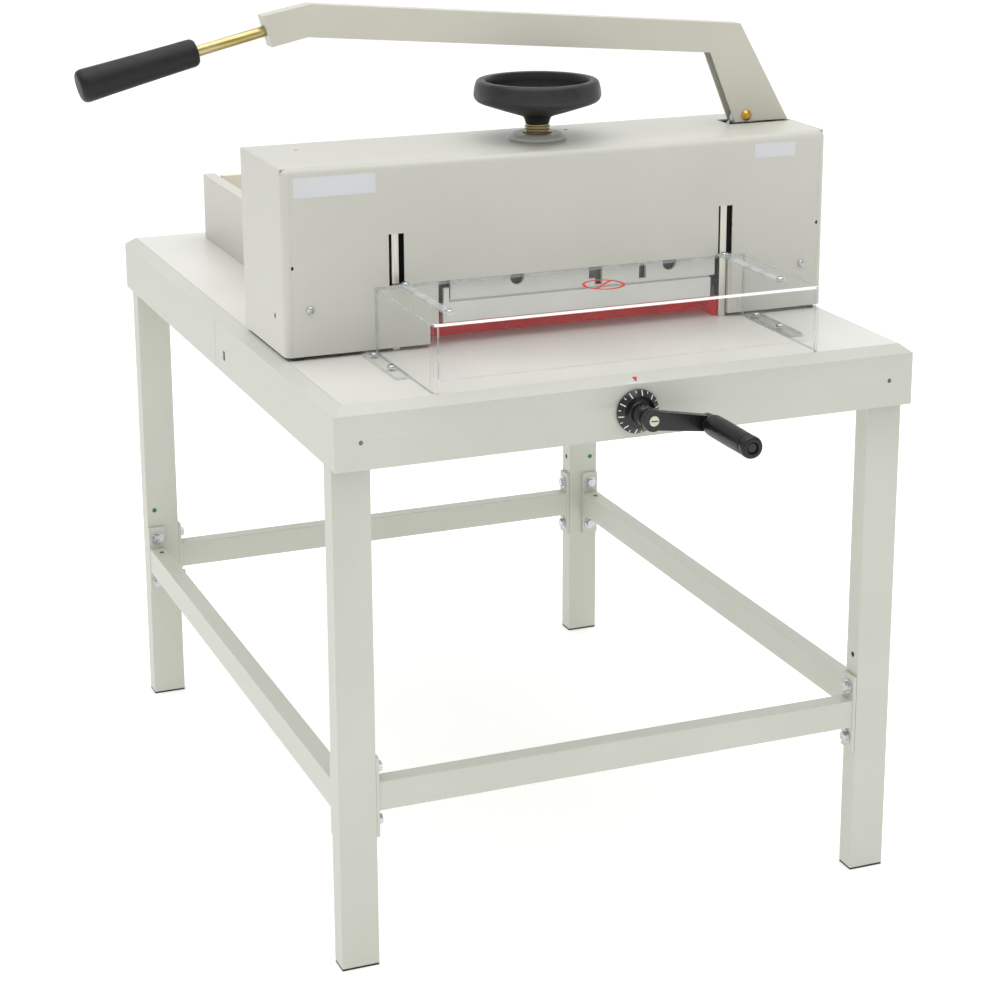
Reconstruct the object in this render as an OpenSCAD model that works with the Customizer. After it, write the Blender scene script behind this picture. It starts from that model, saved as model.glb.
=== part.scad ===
// Guillotine paper cutter on a four-legged stand.
// Origin: on the floor, under the centre of the table. X runs to the right along the front,
// Y runs to the back and Z runs up. Millimetres.

/* [Stand] */
// Width of the table over its rim
table_w = 800; // [760:1:840]
// Depth of the table over its rim
table_d = 1070; // [1040:1:1100]
// Height of the table surface above the floor
table_h = 760; // [700:1:820]
// Width of a leg tube, seen from the front
leg_w = 50; // [40:1:60]
// Depth of a leg tube
leg_d = 30; // [25:1:35]
// Height of the middle of the stretchers above the floor
stretcher_z = 235; // [150:1:400]
// Height of a stretcher tube
stretcher_h = 40; // [30:1:50]
// Width of a stretcher tube
stretcher_w = 25; // [20:1:27]

/* [Table] */
// Height of the upright face of the rim
rim_h = 70; // [60:1:80]
// How far the bevel on the rim reaches in
bevel_in = 14; // [10:1:18]
// How far the bevel on the rim rises
bevel_up = 11; // [8:1:14]
// Thickness of the table plate
plate_t = 10; // [8:1:10]

/* [Head] */
// Width of the head
head_w = 778; // [770:1:784]
// Depth of the head
head_d = 185; // [180:1:190]
// Height of the head above the table
head_h = 249; // [242:1:250]
// Distance from the front of the rim to the front of the head
head_setback = 228; // [226:1:230]
// Width of the front slots
slot_w = 21; // [18:1:24]
// Distance of the front slots from the middle
slot_x = 237; // [236:1:238]

/* [Motion] */
// Angle that the lever swings up
lever_swing = 58; // [40:1:58]
// Travel of the clamp below its drawn position
clamp_down = 12; // [0:1:12]
// Travel of the clamp above its drawn position
clamp_up = 28; // [10:1:28]
// Position of the back gauge's face behind the middle of the table
gauge_y = 455; // [-150:1:455]

/* [Wheels and handles] */
// Outside diameter of the handwheel
wheel_d = 172; // [150:1:190]
// Height of the handwheel's rim
wheel_rim_h = 29; // [22:1:30]
// Diameter of the clamp spindle
spindle_d = 32; // [28:1:32]
// Diameter of the dial on the gauge crank
dial_d = 58; // [50:1:60]
// Length of the gauge crank, axis to axis
crank_r = 80; // [60:1:90]
// Diameter of the crank's grip
crank_grip_d = 29; // [24:1:30]
// Length of the crank's grip
crank_grip_l = 112; // [90:1:120]

/* [Guard] */
// Width of the clear guard between its side walls
guard_w = 536; // [530:1:540]
// Height of the clear guard above the table
guard_h = 88; // [80:1:90]
// Thickness of the clear sheet
guard_t = 4; // [3:0.5:5]

/* [Hidden] */
$fn = 64;

paint = "#d6d7cf";
steel = "#b9bbbd";
cast = "#c9cac2";
black = "#2c2c2e";
brass = "#c2a35a";
clear = "#dfe9ea";
red = "#b5221b";
green = "#1b7a49";
zinc = "#c9cdd0";

gap = 0.3;
sheet = 2;
side_x = table_w / 2;
front_y = -table_d / 2;
back_y = table_d / 2;
plate_z = table_h - plate_t;
rim_z = table_h - bevel_up - rim_h;

foot_h = 3;
tube_wall = 2;
rail_t = 12;
rail_z = plate_z - rail_t;
leg_x = side_x - sheet - 0.2 - leg_w;
leg_front_y = front_y + 22;
leg_back_y = back_y - 30 - leg_d;
end_plate_h = 110;
end_plate_w = 27;
end_plate_t = 5;
bolt_rise = 37;
spare_rise = 83;

head_y = front_y + head_setback;
head_back = head_y + head_d;
head_top = table_h + head_h;
head_x = head_w / 2;
cover_gap = 5;
cover_z = table_h + cover_gap;
bend_r = 10;

throat_left = -192;
throat_right = 258;
jamb_left = 243.5;
strip_right = 231;
throat_z = table_h + 30;
window_left = -180;
window_right = 231;
window_z = table_h + 88;
slot_top = table_h + 156;
left_slot_z = table_h + 88;

knife_y = head_y + 61;
knife_t = 10;
knife_half = 250;
frame_x = 262;
frame_t = 18;
frame_y = head_y + 64;
beam_z = table_h + 170;
beam_h = 60;

spindle_y = head_y + 97;
clamp_z = table_h + 13;
clamp_h = 50;
clamp_half = 235;
wheel_z = head_top + 51;
hub_z = wheel_z - 30;

lever_y = head_y + 112;
lever_t = 24;
lever_wall = 3;
lever_z = head_top - 246;
pivot = [350, lever_z + 270];
link_top = [317, lever_z + 257];
link_foot_z = table_h + 78;
link_w = 34;
link_t = 12;
link_pin_d = 14;
pivot_pin_d = 12;
rod_angle = 13.5;
rod_start = [-371.5, lever_z + 407];
rod_l = 93;
rod_d = 14;
grip_l = 158;
grip_end_d = 43;
grip_neck_d = 36;

screw_z = rim_z + 35;
screw_d = 16;
crank_y = front_y - 45;
crank_angle = -9;
crank_t = 13;
slot_half = 6.5;

guard_x = guard_w / 2;
guard_front = front_y + 14;
guard_back = head_y - 1;
guard_z = table_h + guard_h;

rear_x = 282;
rear_z = table_h + 102;
rear_end = back_y - 53;
rear_flange = 19;

// ---- shared shapes ----

// A round bar along Y, from y0 to y1
module rod_y(x, z, d, y0, y1) {
    translate([x, y1, z]) rotate([90, 0, 0]) cylinder(d = d, h = y1 - y0);
}

// A round bar along X, from x0 to x1
module rod_x(y, z, d, x0, x1) {
    translate([x0, y, z]) rotate([0, 90, 0]) cylinder(d = d, h = x1 - x0);
}

// A box from its lowest corner to its highest corner
module block(lo, hi) {
    translate(lo) cube(hi - lo);
}

// A hexagon bolt head with its washer, lying on the plane z = 0
module hex_head(across = 13, h = 5.5) {
    cylinder(d = across * 1.6, h = 1.6);
    translate([0, 0, 1.5]) cylinder(d = across / cos(30), h = h, $fn = 6);
}

// A domed screw head on the plane z = 0
module pan_head(d = 9, h = 3.5) {
    cylinder(d = d, h = h * 0.5);
    translate([0, 0, h * 0.5 - 0.01]) cylinder(d1 = d, d2 = d * 0.55, h = h * 0.5);
}

// An outline drawn in the XZ plane and made t thick, from y0 to the back
module upright(y0, t) {
    translate([0, y0 + t, 0]) rotate([90, 0, 0]) linear_extrude(t) children();
}

// Where two lines meet: each goes through p along u
function meet(p, u, q, v) =
    let (s = ((q[0] - p[0]) * v[1] - (q[1] - p[1]) * v[0]) / (u[0] * v[1] - u[1] * v[0]))
    p + s * u;
function unit(v) = v / norm(v);

// An outline drawn clockwise, with the side that leaves point i moved in by d[i]
function inset(pts, d) = [
    for (i = [0:len(pts) - 1])
        let (n = len(pts), h = (i + n - 1) % n, b = pts[i],
             u = unit(b - pts[h]), v = unit(pts[(i + 1) % n] - b))
        meet(b + d[h] * [u[1], -u[0]], u, b + d[i] * [v[1], -v[0]], v)
];

// ---- stand ----

// A square tube with bolt holes in the two walls that face the stretchers, and a spare hole
module leg(x, y) {
    inner_x = x > 0 ? x : x + leg_w;
    inner_y = y > 0 ? y : y + leg_d;
    bolt_x = x + leg_w / 2 + sign(x) * (leg_w - end_plate_w) / 2;
    color(paint) difference() {
        block([x, y, foot_h], [x + leg_w, y + leg_d, rail_z]);
        block([x + tube_wall, y + tube_wall, foot_h - 1],
              [x + leg_w - tube_wall, y + leg_d - tube_wall, rail_z + 1]);
        for (s = [-1, 1]) {
            rod_y(bolt_x, stretcher_z + s * bolt_rise, 8.4, inner_y - 3, inner_y + 3);
            rod_x(y + leg_d / 2, stretcher_z + s * bolt_rise, 8.4, inner_x - 3, inner_x + 3);
        }
        rod_x(y + leg_d / 2, stretcher_z + spare_rise, 8.4, inner_x - 3, inner_x + 3);
    }
}
module leg_front_left() { leg(-leg_x - leg_w, leg_front_y); }
module leg_front_right() { leg(leg_x, leg_front_y); }
module leg_back_left() { leg(-leg_x - leg_w, leg_back_y); }
module leg_back_right() { leg(leg_x, leg_back_y); }

// Black caps under the leg tubes, with a plug that goes into the tube
module foot_caps() {
    color(black) for (x = [-leg_x - leg_w, leg_x]) for (y = [leg_front_y, leg_back_y]) {
        block([x, y, 0], [x + leg_w, y + leg_d, foot_h]);
        block([x + tube_wall, y + tube_wall, foot_h - 0.5],
              [x + leg_w - tube_wall, y + leg_d - tube_wall, foot_h + 18]);
    }
}

// A tube along Y with a welded plate at each end; side is -1 on the left and 1 on the right
module side_stretcher(side) {
    y0 = leg_front_y + leg_d;
    y1 = leg_back_y;
    x0 = side > 0 ? leg_x + leg_w - end_plate_w : -leg_x - leg_w;
    tx = side > 0 ? leg_x + leg_w - stretcher_w - 1 : -leg_x - leg_w + 1;
    color(paint) {
        for (y = [y0, y1 - end_plate_t])
            block([x0, y, stretcher_z - end_plate_h / 2],
                  [x0 + end_plate_w, y + end_plate_t, stretcher_z + end_plate_h / 2]);
        difference() {
            block([tx, y0 + end_plate_t, stretcher_z - stretcher_h / 2],
                  [tx + stretcher_w, y1 - end_plate_t, stretcher_z + stretcher_h / 2]);
            block([tx + tube_wall, y0 + 1, stretcher_z - stretcher_h / 2 + tube_wall],
                  [tx + stretcher_w - tube_wall, y1 - 1,
                   stretcher_z + stretcher_h / 2 - tube_wall]);
        }
    }
}
module stretcher_left() { side_stretcher(-1); }
module stretcher_right() { side_stretcher(1); }

// A tube along X with a welded plate at each end, starting at depth y
module cross_stretcher(y) {
    ty = y + (leg_d - stretcher_w) / 2;
    color(paint) {
        for (x = [-leg_x, leg_x - end_plate_t])
            block([x, y, stretcher_z - end_plate_h / 2],
                  [x + end_plate_t, y + leg_d, stretcher_z + end_plate_h / 2]);
        difference() {
            block([-leg_x + end_plate_t, ty, stretcher_z - stretcher_h / 2],
                  [leg_x - end_plate_t, ty + stretcher_w, stretcher_z + stretcher_h / 2]);
            block([-leg_x + 1, ty + tube_wall, stretcher_z - stretcher_h / 2 + tube_wall],
                  [leg_x - 1, ty + stretcher_w - tube_wall,
                   stretcher_z + stretcher_h / 2 - tube_wall]);
        }
    }
}
module stretcher_front() { cross_stretcher(leg_front_y); }
module stretcher_back() { cross_stretcher(leg_back_y); }

// Hexagon bolts through the welded plates, one above and one below each tube
module stretcher_bolts() {
    bx = leg_x + leg_w - end_plate_w / 2;
    color(zinc) for (s = [-1, 1]) translate([0, 0, stretcher_z + s * bolt_rise]) {
        for (side = [-1, 1]) {
            translate([side * bx, leg_front_y + leg_d + end_plate_t, 0])
                rotate([-90, 0, 0]) hex_head();
            translate([side * bx, leg_back_y - end_plate_t, 0]) rotate([90, 0, 0]) hex_head();
            for (y = [leg_front_y + leg_d / 2, leg_back_y + leg_d / 2])
                translate([side * (leg_x - end_plate_t), y, 0])
                    rotate([0, -side * 90, 0]) hex_head();
        }
    }
}

// Small plugs in the spare holes of the back legs and the stretchers
module thread_plugs() {
    color(green) {
        for (side = [-1, 1])
            translate([side * (leg_x + leg_w - 12), leg_back_y, stretcher_z + spare_rise])
                rotate([90, 0, 0]) cylinder(d = 7, h = 1.2);
        for (side = [-1, 1])
            translate([side * (leg_x + leg_w - 14), leg_back_y - 30,
                       stretcher_z + stretcher_h / 2])
                cylinder(d = 7, h = 1.2);
    }
}

// Black studs that hang from the rails beside the legs
module table_studs() {
    color(black) for (x = [-1, 1]) for (y = [front_y + 100, back_y - 100])
        translate([x * (side_x - 14), y, rim_z - 6]) cylinder(d = 8, h = rail_z - rim_z + 6);
}

// ---- table ----

// Flat bars under the table plate that tie each front leg to a back leg, clear of the rim
module table_rails() {
    color(paint) for (side = [0, 1]) mirror([side, 0, 0])
        block([leg_x, leg_front_y, rail_z], [side_x - 6, leg_back_y + leg_d, plate_z]);
}

// Section of the rim: an upright face and a bevel that meets the table plate
module rim_section() {
    polygon([[0, 0], [0, rim_h], [bevel_in, rim_h + bevel_up], [bevel_in, rim_h + bevel_up - sheet],
             [sheet, rim_h - sheet * 0.6], [sheet, 0]]);
}

// A length of rim, drawn along X with its outside at y = 0 and mitred ends
module rim(l) {
    reach = bevel_in + 1;
    difference() {
        rotate([90, 0, 90]) linear_extrude(l) rim_section();
        for (end = [0, 1]) translate([end * l, 0, -1]) mirror([end, 0, 0])
            linear_extrude(rim_h + bevel_up + 2)
                polygon([[-1, -1], [-1, reach], [reach, reach], [-0.01, -0.01]]);
    }
}

module apron_front() {
    color(paint) difference() {
        translate([-side_x, front_y, rim_z]) rim(table_w);
        rod_y(0, screw_z, screw_d + 8, front_y - 1, front_y + sheet + 1);
        for (x = [-1, 1]) rod_y(x * (side_x - 34), screw_z, 6, front_y - 1, front_y + sheet + 1);
    }
}
module apron_back() {
    color(paint) rotate([0, 0, 180]) translate([-side_x, front_y, rim_z]) rim(table_w);
}
module apron_left() {
    color(paint) difference() {
        rotate([0, 0, -90]) translate([front_y, -side_x, rim_z]) rim(table_d);
        block([-side_x - 1, -48, screw_z - 15], [-side_x + sheet + 1, -38, screw_z - 2]);
        block([-side_x - 1, -0.6, rim_z - 1], [-side_x + 0.6, 0.6, rim_z + rim_h]);
    }
}
module apron_right() {
    color(paint) rotate([0, 0, 90]) translate([front_y, -side_x, rim_z]) rim(table_d);
}

module table_plate() {
    px = side_x - bevel_in - 0.5;
    py = back_y - bevel_in - 0.5;
    color(cast) difference() {
        block([-px, -py, plate_z], [px, py, table_h]);
        block([-knife_half - 1, knife_y - 1.5, plate_z + 2],
              [knife_half + 1, knife_y + knife_t + 1.5, table_h + 1]);
        block([-slot_half, knife_y + 40, plate_z - 1], [slot_half, back_y - 35, table_h + 1]);
        block([-px - 1, -py - 1, plate_z - 1], [-px + 4, py + 1, table_h - 3]);
        block([px - 4, -py - 1, plate_z - 1], [px + 1, py + 1, table_h - 3]);
        block([-px - 1, -py - 1, plate_z - 1], [px + 1, -py + 4, table_h - 3]);
        block([-px - 1, py - 4, plate_z - 1], [px + 1, py + 1, table_h - 3]);
    }
}

// The plastic stick that the knife cuts into, let into the table plate
module cutting_stick() {
    color("#e9e4d2") block([-knife_half, knife_y - 1, plate_z + 2],
                           [knife_half, knife_y + knife_t + 1, table_h]);
}

// ---- head ----

// Plates that stand on the table on each side of the knife
module side_frames() {
    color(cast) for (x0 = [-frame_x - frame_t, frame_x])
        block([x0, frame_y, table_h], [x0 + frame_t, head_back - 8, beam_z + beam_h]);
}

// The beam that carries the nut of the clamp spindle
module cross_beam() {
    color(cast) difference() {
        block([-frame_x, spindle_y - 25, beam_z], [frame_x, spindle_y + 25, beam_z + beam_h]);
        translate([0, spindle_y, beam_z - 1]) cylinder(d = spindle_d + 0.6, h = beam_h + 2);
    }
}

// Front sheet, with the throat, the window over the knife, the two slots and the right jamb
module front_cover() {
    color(paint) difference() {
        union() {
            block([-head_x + bend_r, head_y, cover_z],
                  [head_x - bend_r, head_y + sheet, head_top - bend_r]);
            difference() {
                rod_x(head_y + bend_r, head_top - bend_r, 2 * bend_r,
                      -head_x + bend_r, head_x - bend_r);
                rod_x(head_y + bend_r, head_top - bend_r, 2 * (bend_r - sheet),
                      -head_x, head_x);
                block([-head_x, head_y + bend_r, cover_z], [head_x, head_back, head_top + 1]);
                block([-head_x, head_y - 1, cover_z], [head_x, head_back, head_top - bend_r]);
            }
        }
        block([throat_left, head_y - 1, cover_z - 1], [throat_right, head_y + 3, throat_z]);
        block([window_left, head_y - 1, throat_z - 1], [window_right, head_y + 3, window_z]);
        for (side = [-1, 1])
            block([side * slot_x - slot_w / 2, head_y - 1, side < 0 ? left_slot_z : throat_z - 1],
                  [side * slot_x + slot_w / 2, head_y + 3, slot_top]);
        for (side = [-1, 1]) rod_y(side * (head_x - 11), table_h + 122, 5, head_y - 1, head_y + 3);
    }
    color(paint) {
        block([jamb_left, head_y + 1, cover_z],
              [throat_right + sheet, head_y + 40, throat_z + 6]);
        block([jamb_left, head_y + 1.5, throat_z + 5],
              [throat_right + sheet, head_y + 16, window_z]);
    }
}

// Top sheet, open for the spindle and for the foot of the lever
module top_cover() {
    color(paint) difference() {
        block([-head_x + sheet + gap, head_y + bend_r, head_top - sheet],
              [head_x - sheet - gap, head_back - sheet - gap, head_top]);
        translate([0, spindle_y, head_top - 5]) cylinder(d = spindle_d + 6, h = 10);
        block([link_top[0] - 26, lever_y - 15, head_top - 5],
              [head_x - 4, bracket_y + bracket_t + 4, head_top + 5]);
        for (p = [[63, -160], [-327, -171]]) translate([p[0], p[1], head_top - 5])
            cylinder(d = 6, h = 10);
    }
}

// End sheet with a rounded front edge that meets the front sheet
module end_cover(side) {
    inner = bend_r - sheet;
    color(paint) mirror([side > 0 ? 1 : 0, 0, 0]) {
        difference() {
            block([-head_x, head_y + bend_r, cover_z], [-head_x + sheet, head_back, head_top]);
            if (side < 0)
                rod_x(head_y + 45, table_h + 52, 8, -head_x - 1, -head_x + sheet + 1);
        }
        difference() {
            translate([-head_x + bend_r, head_y + bend_r, cover_z])
                cylinder(r = bend_r, h = head_top - bend_r - cover_z);
            translate([-head_x + bend_r, head_y + bend_r, cover_z - 1])
                cylinder(r = inner, h = head_h);
            block([-head_x + bend_r, head_y - 1, cover_z - 1], [0, head_back, head_top + 1]);
            block([-head_x - 1, head_y + bend_r, cover_z - 1], [0, head_back, head_top + 1]);
        }
        translate([-head_x + bend_r, head_y + bend_r, head_top - bend_r]) difference() {
            sphere(r = bend_r);
            sphere(r = inner);
            block([0, -2 * bend_r, -2 * bend_r], 2 * bend_r * [1, 1, 1]);
            block([-2 * bend_r, 0, -2 * bend_r], 2 * bend_r * [1, 1, 1]);
            block(-2 * bend_r * [1, 1, 1], [1, 1, 0]);
        }
    }
}
module end_cover_left() { end_cover(-1); }
module end_cover_right() { end_cover(1); }

module rear_cover() {
    color(paint) difference() {
        block([-head_x + sheet + gap, head_back - sheet, cover_z],
              [head_x - sheet - gap, head_back, head_top]);
        block([-frame_x, head_back - 5, cover_z - 1], [frame_x, head_back + 5, table_h + 108]);
    }
}

// Screws that hold the front sheet
module cover_screws() {
    color(zinc) for (side = [-1, 1]) translate([side * (head_x - 34), head_y, table_h + 66])
        rotate([90, 0, 0]) pan_head(11, 4);
}

// Black pads between the covers and the table
module cover_pads() {
    color(black) for (x = [-1, 1]) for (y = [head_y + 3, head_back - 24])
        translate([x * (head_x - 18), y, table_h]) block([-7, 0, 0], [7, 20, cover_gap]);
}

// Bright bars behind the slots
module guide_bars() {
    color(steel) for (side = [-1, 1])
        block([side * slot_x - 5, head_y + 6, table_h], [side * slot_x + 5, head_y + 14, beam_z]);
}

module spindle_flange() {
    color(cast) translate([0, spindle_y, head_top]) difference() {
        union() {
            cylinder(d = 78, h = 5);
            translate([0, 0, 5]) cylinder(d1 = 74, d2 = 66, h = 3);
        }
        translate([0, 0, -1]) cylinder(d = spindle_d + 6, h = 12);
    }
}

// Arm on the right frame that carries the lever's pivot pin
bracket_y = lever_y + lever_t / 2 + 0.5;
bracket_t = 12;
module pivot_bracket() {
    x0 = frame_x + frame_t;
    color(cast) difference() {
        union() {
            upright(bracket_y, bracket_t) polygon([[x0, table_h + 120], [x0, table_h + 225],
                [pivot[0] - 11, pivot[1]], [pivot[0] + 11, pivot[1]],
                [pivot[0] + 11, table_h + 225]]);
            rod_y(pivot[0], pivot[1], 22, bracket_y, bracket_y + bracket_t);
        }
        rod_y(pivot[0], pivot[1], pivot_pin_d, bracket_y - 1, bracket_y + bracket_t + 1);
    }
}

module pivot_pin() {
    y1 = bracket_y + bracket_t;
    color(steel) {
        rod_y(pivot[0], pivot[1], pivot_pin_d, lever_y - lever_t / 2 + lever_wall + 3, y1);
        rod_y(pivot[0], pivot[1], 18, y1, y1 + 3);
    }
}

// ---- knife carriage ----

// Guided beam with the lug and pin that the link pulls
module knife_carrier() {
    y0 = head_y + 21;
    color("#3a3b3c") {
        block([-frame_x + 4, y0, table_h + 40], [frame_x + 86, knife_y - 1, table_h + 120]);
        block([link_top[0] - 17, knife_y - 1.5, link_foot_z - 18],
              [link_top[0] + 17, lever_y - link_t / 2 - 3, link_foot_z + 18]);
        rod_y(link_top[0], link_foot_z, link_pin_d, lever_y - link_t / 2 - 4, lever_y + 8);
    }
}

// Light front plate of the carrier with its bolt openings
module carrier_plate() {
    y0 = head_y + 10;
    color(cast) difference() {
        union() {
            block([window_left + 20, y0, table_h + 59], [window_right - 4, y0 + 6, table_h + 112]);
            block([window_left + 8, y0 - 4, table_h + 30], [window_right - 12, y0 + 6, table_h + 57]);
            block([window_left + 9, y0 - 4, table_h + 56], [window_left + 17, y0 + 2, table_h + 77]);
            block([window_left + 12, y0 + 2, table_h + 50], [window_right - 12, y0 + 6, table_h + 60]);
            for (x = [-130, -5, 85, 190])
                block([x, y0 + 5, table_h + 64], [x + 18, head_y + 21, table_h + 104]);
        }
        for (x = [-65, 158]) {
            rod_y(x, table_h + 82, 20, y0 - 1, y0 + 7);
            block([x - 10, y0 - 1, table_h + 82], [x + 10, y0 + 7, table_h + 100]);
        }
        block([39, y0 - 1, table_h + 70], [58, y0 + 7, table_h + 100]);
        block([48, y0 - 1, table_h + 61], [58, y0 + 7, table_h + 72]);
        block([113, y0 - 1, table_h + 64], [123, y0 + 7, table_h + 80]);
        rod_y(118, table_h + 80, 10, y0 - 1, y0 + 7);
    }
}

// Blade with a bevel ground on its back
module knife() {
    z0 = table_h + gap;
    color(steel) translate([-knife_half, 0, 0]) rotate([90, 0, 90]) linear_extrude(2 * knife_half)
        polygon([[knife_y, z0], [knife_y, table_h + 112], [knife_y + knife_t, table_h + 112],
                 [knife_y + knife_t, z0 + 24]]);
}

module knife_bolts() {
    color(black) for (x = [-200, -65, 48, 158, 220])
        translate([x, head_y + 21, table_h + 90]) rotate([90, 0, 0])
            cylinder(d = 15 / cos(30), h = 4, $fn = 6);
}

// ---- lever ----

// Flat bar that pulls the carrier; its foot has a long hole
module lever_link() {
    y0 = lever_y - link_t / 2;
    hole = link_pin_d + 2.4;
    color(zinc) difference() {
        union() {
            block([link_top[0] - link_w / 2, y0, link_foot_z],
                  [link_top[0] + link_w / 2, y0 + link_t, link_top[1]]);
            rod_y(link_top[0], link_top[1], link_w, y0, y0 + link_t);
            rod_y(link_top[0], link_foot_z, link_w, y0, y0 + link_t);
        }
        rod_y(link_top[0], link_top[1], link_pin_d + 0.1, y0 - 1, y0 + link_t + 1);
        for (x = [-5, 3]) rod_y(link_top[0] + x, link_foot_z, hole, y0 - 1, y0 + link_t + 1);
        block([link_top[0] - 5, y0 - 1, link_foot_z - hole / 2],
              [link_top[0] + 3, y0 + link_t + 1, link_foot_z + hole / 2]);
    }
}

// Outline of the arm, clockwise from the foot's left corner
lever_outline = [
    [300, lever_z + 248], [260, lever_z + 347], [-318, lever_z + 397.5], [-366, lever_z + 387],
    [-377, lever_z + 427], [-313, lever_z + 439.5], [305, lever_z + 385], [382, lever_z + 248]
];

// Folded channel: two webs joined along the outer edge, open on the inner side
module lever_arm() {
    y0 = lever_y - lever_t / 2;
    w = lever_wall;
    cavity = inset(lever_outline, [-12, -12, -12, w, w, w, w, -12]);
    color(paint) difference() {
        union() {
            difference() {
                upright(y0, lever_t) polygon(lever_outline);
                upright(y0 + w, lever_t - 2 * w) polygon(cavity);
            }
            rod_y(pivot[0], pivot[1], 20, y0 + w - 0.01, y0 + lever_t - 1);
            translate([rod_start[0], lever_y, rod_start[1]]) rotate([0, 90 - rod_angle, 0])
                cylinder(d = 17.9, h = 60);
        }
        rod_y(pivot[0], pivot[1], pivot_pin_d + 0.1, y0 + w + 2, y0 + lever_t + 1);
        rod_y(link_top[0], link_top[1], link_pin_d, y0 - 1, y0 + lever_t + 1);
        translate([rod_start[0], lever_y, rod_start[1]]) rotate([0, 90 - rod_angle, 0])
            translate([0, 0, -20]) cylinder(d = rod_d, h = 65);
    }
}

// Places its children on the rod's axis, with +Z pointing out along the rod
module on_rod() {
    translate([rod_start[0], lever_y, rod_start[1]]) rotate([0, -90 - rod_angle, 0]) children();
}

module lever_rod() {
    color(brass) on_rod() translate([0, 0, -45]) cylinder(d = rod_d, h = 45 + rod_l + 60);
}

module lever_grip() {
    shoulder = 6;
    color(black) on_rod() translate([0, 0, rod_l]) difference() {
        rotate_extrude() polygon([[0, 0], [grip_neck_d / 2 - shoulder, 0],
            [grip_neck_d / 2 - 1.5, 2], [grip_neck_d / 2, shoulder],
            [grip_end_d / 2, grip_l - 10], [grip_end_d / 2 - 1, grip_l - 4],
            [grip_end_d / 2 - 5, grip_l], [0, grip_l]]);
        translate([0, 0, -1]) cylinder(d = rod_d, h = 61);
    }
}

// Pin between the lever and the link, with a domed brass head in front
module link_pin() {
    y0 = lever_y - lever_t / 2;
    color(brass) {
        rod_y(link_top[0], link_top[1], link_pin_d, y0, y0 + lever_t);
        translate([link_top[0], y0, link_top[1]]) rotate([90, 0, 0]) {
            cylinder(d = 15, h = 1.5);
            translate([0, 0, 1.4]) cylinder(d1 = 15, d2 = 8, h = 3.6);
        }
    }
}

// ---- clamp ----

module clamp_beam() {
    color(steel) difference() {
        union() {
            block([-clamp_half, spindle_y - 21, clamp_z], [clamp_half, spindle_y + 21, clamp_z + 30]);
            block([-60, spindle_y - 21, clamp_z + 29], [60, spindle_y + 21, clamp_z + clamp_h]);
        }
        translate([0, spindle_y, clamp_z + 20]) cylinder(d = spindle_d + 0.1, h = clamp_h);
    }
}

module spindle() {
    z0 = clamp_z + 20 + gap;
    color(brass) translate([0, spindle_y, z0]) {
        cylinder(d = spindle_d, h = hub_z - z0);
        cylinder(d = 14, h = hub_z + 20 - z0);
    }
}

// A turned dish: a thin cone that spreads from the hub to a deep rim
module handwheel() {
    r = wheel_d / 2;
    h = wheel_rim_h;
    color(black) translate([0, spindle_y, 0]) difference() {
        translate([0, 0, wheel_z]) rotate_extrude() polygon([
            [0, hub_z - wheel_z], [16.5, hub_z - wheel_z], [19, -21], [r - 8, -1], [r - 2, 3.5],
            [r, 8], [r - 3, h - 5], [r - 5, h - 1.5], [r - 9, h], [r - 14, h], [r - 16.5, h - 4],
            [r - 18, 10], [r - 25, 4], [22, -9], [13, -2], [0, -2]]);
        translate([0, 0, hub_z - 1]) cylinder(d = 14, h = 21);
    }
}

// ---- guard ----

// Clear sheet bent into a front, a top, two side walls and two feet
module guard_shell() {
    r = 8;
    foot_w = 20;
    color(clear, 0.4) difference() {
        union() {
            block([-guard_x + r, guard_front, table_h + 16],
                  [guard_x - r, guard_front + guard_t, guard_z - 1]);
            block([-guard_x + guard_t + gap, guard_front + guard_t - 0.5, guard_z - guard_t],
                  [guard_x - guard_t - gap, guard_back, guard_z]);
            for (side = [-1, 1]) {
                x0 = side > 0 ? guard_x - guard_t : -guard_x;
                difference() {
                    block([x0, guard_front + r, table_h], [x0 + guard_t, guard_back, guard_z]);
                    block([x0 - 1, guard_back - 14, guard_z - 10], [x0 + 9, guard_back + 1, guard_z + 1]);
                }
                rod_x(guard_back - 14, guard_z - 14, 28, x0, x0 + guard_t);
                translate([side * (guard_x - r), guard_front + r, table_h]) difference() {
                    cylinder(r = r, h = guard_h);
                    translate([0, 0, -1]) cylinder(r = r - guard_t, h = guard_h + 2);
                    translate([side > 0 ? -20 : 0, -20, -1]) cube([20, 40, guard_h + 2]);
                    translate([-20, 0, -1]) cube([40, 20, guard_h + 2]);
                }
                fx = side > 0 ? guard_x - 1 : -guard_x - foot_w;
                block([fx, guard_back - 134, table_h], [fx + foot_w + 1, guard_back - 4, table_h + guard_t]);
            }
        }
        block([-guard_x - 1, guard_back, table_h - 1], [guard_x + 1, guard_back + 20, guard_z + 1]);
    }
}

stay_x = 222;
stay_z = guard_z + 0.1;
module guard_stays() {
    color(clear) for (side = [-1, 1])
        block([side * (stay_x + 8) - 6, guard_front + 34, guard_z],
              [side * (stay_x + 8) + 6, guard_back - 3, guard_z + 3]);
}

module guard_screws() {
    color(zinc) {
        for (side = [-1, 1]) for (y = [guard_front + 42, guard_back - 11])
            translate([side * (stay_x + 8), y, guard_z + 3]) pan_head(10, 4.5);
        for (side = [-1, 1]) for (y = [guard_back - 18, guard_back - 86])
            translate([side * (guard_x + 9), y, table_h + guard_t]) pan_head(11, 4);
    }
}

// Round prohibition sign with a slash, stuck on top of the guard
module warning_sign() {
    color(red) translate([11, head_y - 99, guard_z]) {
        difference() {
            cylinder(d = 56, h = 0.4);
            translate([0, 0, -1]) cylinder(d = 48, h = 2);
        }
        rotate([0, 0, 45]) block([-25, -2, 0], [25, 2, 0.4]);
    }
}

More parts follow.
